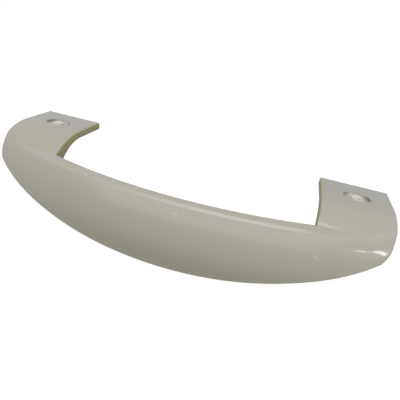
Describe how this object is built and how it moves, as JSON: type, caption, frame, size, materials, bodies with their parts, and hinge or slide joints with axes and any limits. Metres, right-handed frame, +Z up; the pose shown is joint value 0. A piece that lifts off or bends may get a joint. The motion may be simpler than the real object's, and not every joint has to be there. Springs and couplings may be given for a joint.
{
  "type": "fridge door handle",
  "caption": "One-piece moulded fridge or freezer door handle: a bowed, lens-shaped grip bar on two curved legs that end in flat screw-down feet.",
  "frame": {"origin": "midway between the two screw holes, on the plane that the undersides of the feet sit on", "axes": "+X along the handle, -Y out from the door towards the user, +Z up out of the door's top edge"},
  "size_m": [0.2, 0.0658, 0.0382],
  "materials": {
    "gloss_cream_plastic": "glossy off-white moulding"
  },
  "bodies": {
    "root": {"handle_moulding": "gloss_cream_plastic"}
  },
  "joints": []
}
